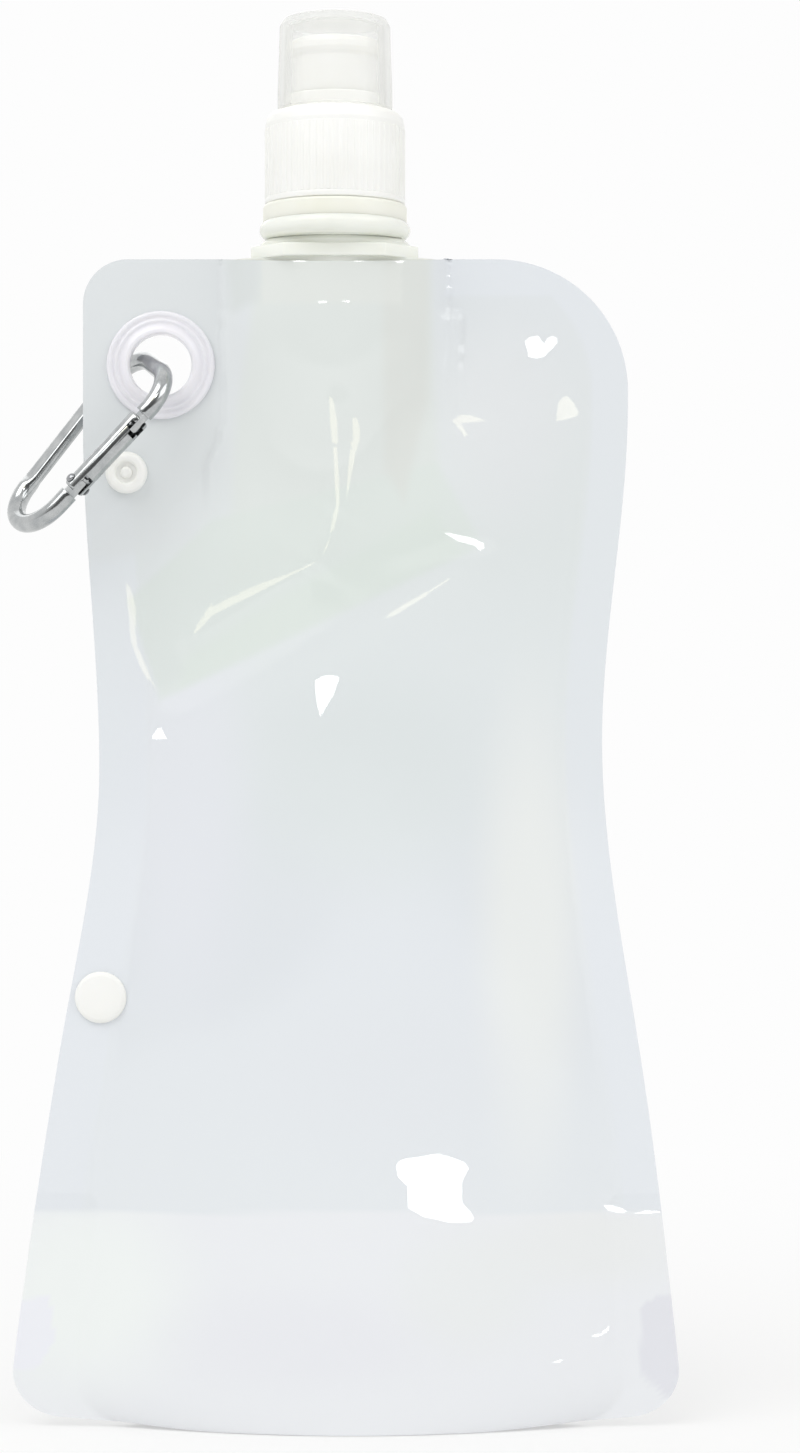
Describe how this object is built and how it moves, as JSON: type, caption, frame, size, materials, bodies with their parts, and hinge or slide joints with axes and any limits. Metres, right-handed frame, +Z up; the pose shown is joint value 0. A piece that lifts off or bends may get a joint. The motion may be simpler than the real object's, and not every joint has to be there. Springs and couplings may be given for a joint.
{
  "type": "collapsible water bottle",
  "caption": "Flat film pouch that stands on an opened bottom fold, with a screw closure, pull-up nozzle, clear dust cap, eyelet, clip and press snap.",
  "frame": {"origin": "middle of the whole part's box, at the level that it stands on", "axes": "+Z up through the spout, -Y out of the front film, +X to the right seen from the front"},
  "size_m": [0.1274, 0.0286, 0.2673],
  "materials": {
    "milky_film": "translucent milky laminate film",
    "frosted_plastic": "natural polyethylene, slightly see-through",
    "cream_plastic": "moulded",
    "liner_foam": "foamed sheet",
    "white_plastic": "moulded satin",
    "clear_cap_plastic": "frosted clear polypropylene",
    "eyelet_plastic": "moulded, slightly see-through",
    "polished_aluminium": "polished",
    "spring_steel": "drawn wire"
  },
  "bodies": {
    "upper": {"front_film_upper": "milky_film", "back_film_upper": "milky_film", "spout": "frosted_plastic", "tamper_band": "cream_plastic", "eyelet_front": "eyelet_plastic", "eyelet_back": "eyelet_plastic", "snap_socket": "white_plastic", "snap_socket_cap": "white_plastic"},
    "lower": {"front_film_lower": "milky_film", "back_film_lower": "milky_film", "bottom_gusset": "milky_film", "snap_stud": "white_plastic", "snap_stud_cap": "white_plastic"},
    "liner": {"closure_liner": "liner_foam"},
    "closure": {"closure": "white_plastic"},
    "nozzle": {"nozzle": "white_plastic"},
    "dust_cap": {"dust_cap": "clear_cap_plastic"},
    "carabiner": {"carabiner_body": "polished_aluminium", "latch_pin": "polished_aluminium", "gate_rivet": "polished_aluminium"},
    "gate": {"carabiner_gate": "polished_aluminium", "gate_plunger": "spring_steel", "gate_spring": "spring_steel"}
  },
  "joints": [
    {"name": "fold", "type": "hinge", "parent": "upper", "child": "lower", "pos_m": [0, -0.0086, 0.1093], "axis": [-1, 0, 0], "range_deg": [0, 160]},
    {"name": "closure_rise", "type": "slide", "parent": "upper", "child": "liner", "axis": [0, 0, 1], "range_m": [0, 0.0045]},
    {"name": "closure_turn", "type": "hinge", "parent": "liner", "child": "closure", "pos_m": [-0.00114, 0, 0.24], "axis": [0, 0, 1], "range_deg": [0, 540]},
    {"name": "nozzle_pull", "type": "slide", "parent": "closure", "child": "nozzle", "axis": [0, 0, 1], "range_m": [0, 0.003]},
    {"name": "dust_cap_pull", "type": "slide", "parent": "closure", "child": "dust_cap", "axis": [0, 0, 1], "range_m": [0, 0.025]},
    {"name": "carabiner_swing", "type": "hinge", "parent": "upper", "child": "carabiner", "pos_m": [-0.0361, 0, 0.2018], "axis": [0, 1, 0], "range_deg": [-15, 90]},
    {"name": "gate_open", "type": "hinge", "parent": "carabiner", "child": "gate", "pos_m": [-0.04902, -0.01011, 0.17801], "axis": [-0.6053, -0.5592, 0.5665], "range_deg": [0, 20], "stiffness_Nm_per_rad": 0.02, "springref_deg": -11.46}
  ],
  "couplings": [
    {"joint": "closure_turn", "follows": "closure_rise", "rad_per_m": 2094.4}
  ]
}
